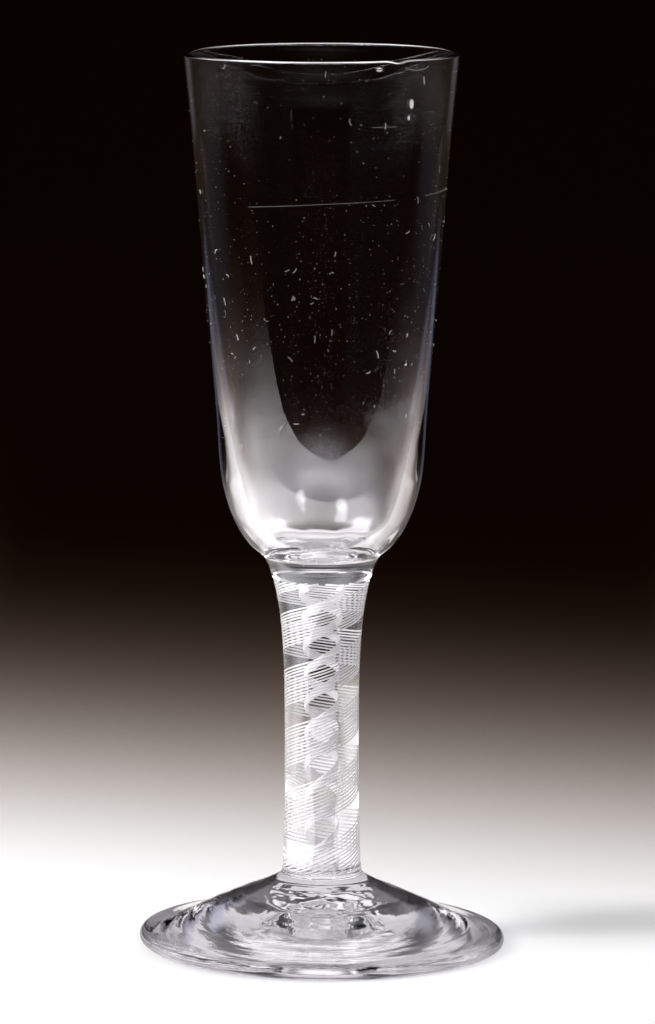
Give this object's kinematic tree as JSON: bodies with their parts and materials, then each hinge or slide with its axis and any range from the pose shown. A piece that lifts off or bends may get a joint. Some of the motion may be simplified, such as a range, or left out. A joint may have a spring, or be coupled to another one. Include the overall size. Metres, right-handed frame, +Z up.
{
  "type": "wine glass",
  "caption": "Tall drinking glass with a round funnel bowl, a straight stem holding a double series white enamel twist, and a plain conical foot.",
  "frame": {"origin": "centre of the resting ring on the underside of the foot", "axes": "+Z up along the axis of the stem; the glass is round about Z except for its twist, so X and Y are free"},
  "size_m": [0.076, 0.076, 0.1856],
  "materials": {
    "clear_glass": "polished clear lead glass with a faint grey tint",
    "white_enamel": "opaque white enamel glass, sealed inside the stem"
  },
  "bodies": {
    "root": {"bowl": "clear_glass", "foot": "clear_glass", "stem_casing": "clear_glass", "stem_sleeve": "clear_glass", "inner_core": "clear_glass", "inner_tape_a": "white_enamel", "inner_tape_b": "white_enamel", "outer_thread_01": "white_enamel", "outer_thread_02": "white_enamel", "outer_thread_03": "white_enamel", "outer_thread_04": "white_enamel", "outer_thread_05": "white_enamel", "outer_thread_06": "white_enamel", "outer_thread_07": "white_enamel", "outer_thread_08": "white_enamel", "outer_thread_09": "white_enamel", "outer_thread_10": "white_enamel", "outer_thread_11": "white_enamel", "outer_thread_12": "white_enamel"}
  },
  "joints": []
}
